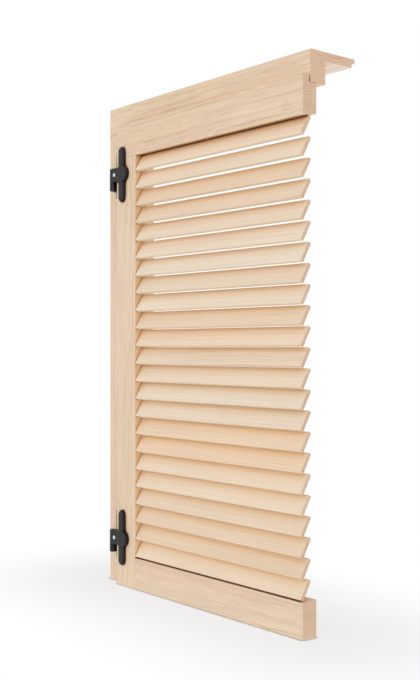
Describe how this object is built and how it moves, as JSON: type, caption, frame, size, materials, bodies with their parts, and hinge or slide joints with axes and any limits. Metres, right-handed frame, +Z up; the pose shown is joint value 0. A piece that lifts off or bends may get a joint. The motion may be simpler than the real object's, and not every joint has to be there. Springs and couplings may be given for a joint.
{
  "type": "louvred shutter leaf in its frame",
  "caption": "Section of a softwood louvred shutter: fixed tilted slats housed in a rebated leaf that swings on two black pintle hinges in a lined frame.",
  "frame": {"origin": "middle of the base, under the middle of the overall box", "axes": "+Z up, +X along the leaf away from the hinges, +Y from the leaf's front into the wall"},
  "size_m": [0.602, 0.1376, 1.002],
  "materials": {
    "frame_wood": "planed pale softwood",
    "leaf_wood": "planed pale softwood",
    "slat_wood": "planed pale softwood",
    "dowel_wood": "turned hardwood",
    "black_iron": "satin black powder coat",
    "bright_steel": "bright zinc plate"
  },
  "bodies": {
    "frame": {"frame_head": "frame_wood", "frame_jamb": "frame_wood", "head_lining": "frame_wood", "jamb_lining": "frame_wood", "corner_dowels": "dowel_wood", "lining_dowels": "dowel_wood", "lining_corner_dowels": "dowel_wood", "upper_pintle": "black_iron", "lower_pintle": "black_iron", "thrust_washers": "black_iron", "pintle_screws": "bright_steel"},
    "leaf": {"stile": "leaf_wood", "top_rail": "leaf_wood", "bottom_rail": "leaf_wood", "slat_01": "slat_wood", "slat_02": "slat_wood", "slat_03": "slat_wood", "slat_04": "slat_wood", "slat_05": "slat_wood", "slat_06": "slat_wood", "slat_07": "slat_wood", "slat_08": "slat_wood", "slat_09": "slat_wood", "slat_10": "slat_wood", "slat_11": "slat_wood", "slat_12": "slat_wood", "slat_13": "slat_wood", "slat_14": "slat_wood", "slat_15": "slat_wood", "slat_16": "slat_wood", "slat_17": "slat_wood", "slat_18": "slat_wood", "slat_19": "slat_wood", "slat_20": "slat_wood", "slat_21": "slat_wood", "slat_22": "slat_wood", "slat_23": "slat_wood", "upper_strap": "black_iron", "lower_strap": "black_iron", "upper_hinge_leaf": "black_iron", "lower_hinge_leaf": "black_iron", "lock_screws": "bright_steel", "strap_bolts": "bright_steel", "clamp_bolts": "bright_steel"}
  },
  "joints": [
    {"name": "leaf_swing", "type": "hinge", "parent": "frame", "child": "leaf", "pos_m": [-0.262, -0.0602, 0.098], "axis": [0, 0, -1], "range_deg": [0, 180]}
  ]
}
